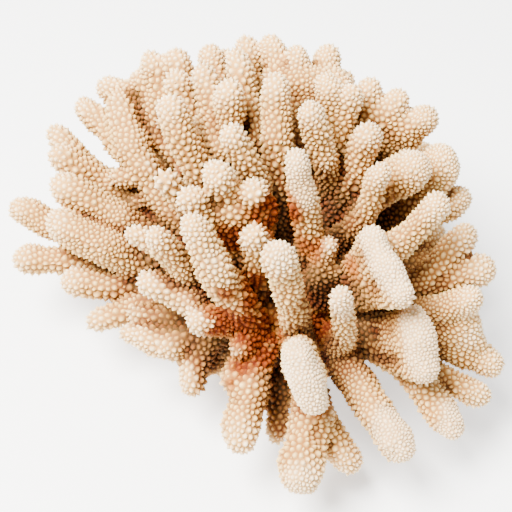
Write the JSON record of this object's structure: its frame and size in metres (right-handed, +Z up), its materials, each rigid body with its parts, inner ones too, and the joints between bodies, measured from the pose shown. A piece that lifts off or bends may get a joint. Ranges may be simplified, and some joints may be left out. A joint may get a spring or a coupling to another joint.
{
  "type": "branching coral",
  "caption": "Cleaned skeleton of a branching stony coral, blunt beaded fingers radiating from one holdfast, cut flat below so that it stands on a shelf.",
  "frame": {"origin": "centre of the flat cut under the holdfast", "axes": "+Z straight up out of the cut, towards the crown; +X to the right as seen from the side with the long drooping fingers; that side faces -Y"},
  "size_m": [0.2384, 0.2267, 0.1545],
  "materials": {
    "coral_skeleton": "matt, chalky bleached aragonite: cream-white bead crowns, tan valleys, rust-orange stains near the heart"
  },
  "bodies": {
    "root": {"holdfast": "coral_skeleton", "front_tall_finger": "coral_skeleton", "front_drooping_finger": "coral_skeleton", "front_short_paddle": "coral_skeleton", "front_low_club": "coral_skeleton", "front_right_club": "coral_skeleton", "front_right_paddle": "coral_skeleton", "front_small_finger": "coral_skeleton", "front_upright_finger": "coral_skeleton", "front_right_low_fork": "coral_skeleton", "front_cleft_twig": "coral_skeleton", "front_left_finger": "coral_skeleton", "front_left_fan": "coral_skeleton", "front_under_lobes": "coral_skeleton", "front_left_under_lobe": "coral_skeleton", "crown_centre_finger": "coral_skeleton", "crown_left_front_finger": "coral_skeleton", "crown_fan": "coral_skeleton", "crown_left_twig": "coral_skeleton", "crown_left_fork": "coral_skeleton", "crown_tall_finger": "coral_skeleton", "crown_left_club": "coral_skeleton", "crown_left_knob": "coral_skeleton", "crown_back_left_fork": "coral_skeleton", "crown_back_finger": "coral_skeleton", "crown_right_finger": "coral_skeleton", "crown_right_back_fork": "coral_skeleton", "left_front_finger": "coral_skeleton", "left_long_finger": "coral_skeleton", "left_low_finger": "coral_skeleton", "left_club": "coral_skeleton", "left_upper_finger": "coral_skeleton", "left_back_fork": "coral_skeleton", "left_front_stub": "coral_skeleton", "left_low_knob": "coral_skeleton", "left_back_club": "coral_skeleton", "right_front_blade": "coral_skeleton", "right_leaning_finger": "coral_skeleton", "right_twin_club": "coral_skeleton", "right_wide_club": "coral_skeleton", "right_slim_finger": "coral_skeleton", "right_fat_finger": "coral_skeleton", "right_inner_finger": "coral_skeleton", "right_back_finger": "coral_skeleton", "right_back_plate": "coral_skeleton", "back_fan": "coral_skeleton", "back_left_trident": "coral_skeleton", "back_left_plate": "coral_skeleton", "back_upper_fork": "coral_skeleton", "back_right_upper_fork": "coral_skeleton", "back_right_finger": "coral_skeleton", "back_left_middle_fork": "coral_skeleton", "back_middle_fork": "coral_skeleton", "back_right_middle_fork": "coral_skeleton", "back_right_low_finger": "coral_skeleton", "right_low_fork": "coral_skeleton", "right_low_finger": "coral_skeleton", "back_left_low_fork": "coral_skeleton", "back_low_fork": "coral_skeleton", "back_right_low_fork": "coral_skeleton"}
  },
  "joints": []
}
